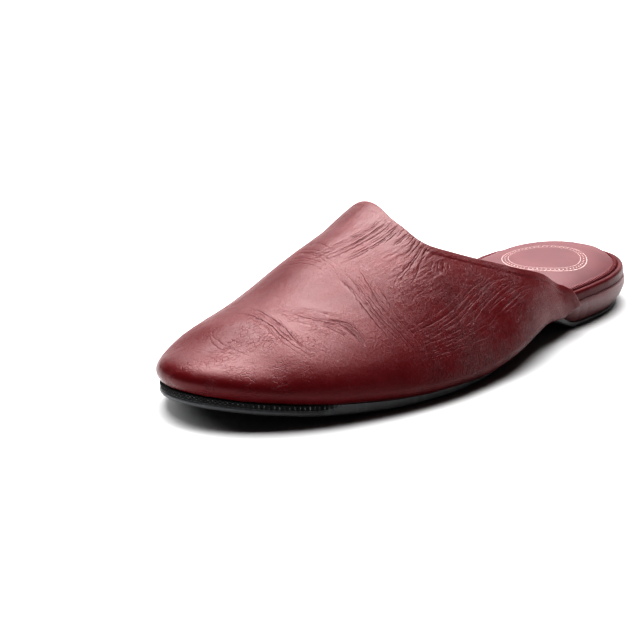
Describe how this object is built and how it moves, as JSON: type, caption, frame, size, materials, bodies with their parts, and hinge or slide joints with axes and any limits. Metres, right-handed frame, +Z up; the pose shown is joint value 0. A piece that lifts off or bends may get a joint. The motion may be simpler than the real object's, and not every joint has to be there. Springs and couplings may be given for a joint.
{
  "type": "mule slipper",
  "caption": "Backless leather slipper for a left foot: a smooth vamp over a padded sock, with a covered low heel and a rubber sole.",
  "frame": {"origin": "middle of the bounding box on the floor plane", "axes": "+Z up from the floor, -Y towards the toe, +Y towards the heel, +X towards the lateral side of this left shoe"},
  "size_m": [0.1064, 0.2692, 0.0663],
  "materials": {
    "sole_rubber": "matt black moulded rubber with a ribbed flange",
    "cover_leather": "smooth semi-gloss oxblood leather",
    "upper_leather": "soft semi-gloss oxblood leather, creased and lightly pebbled",
    "sock_leather": "smooth satin oxblood leather, padded",
    "bead_leather": "smooth semi-gloss oxblood leather"
  },
  "bodies": {
    "root": {"outsole": "sole_rubber", "heel": "cover_leather", "upper": "upper_leather", "insole": "sock_leather", "bead": "bead_leather"}
  },
  "joints": []
}
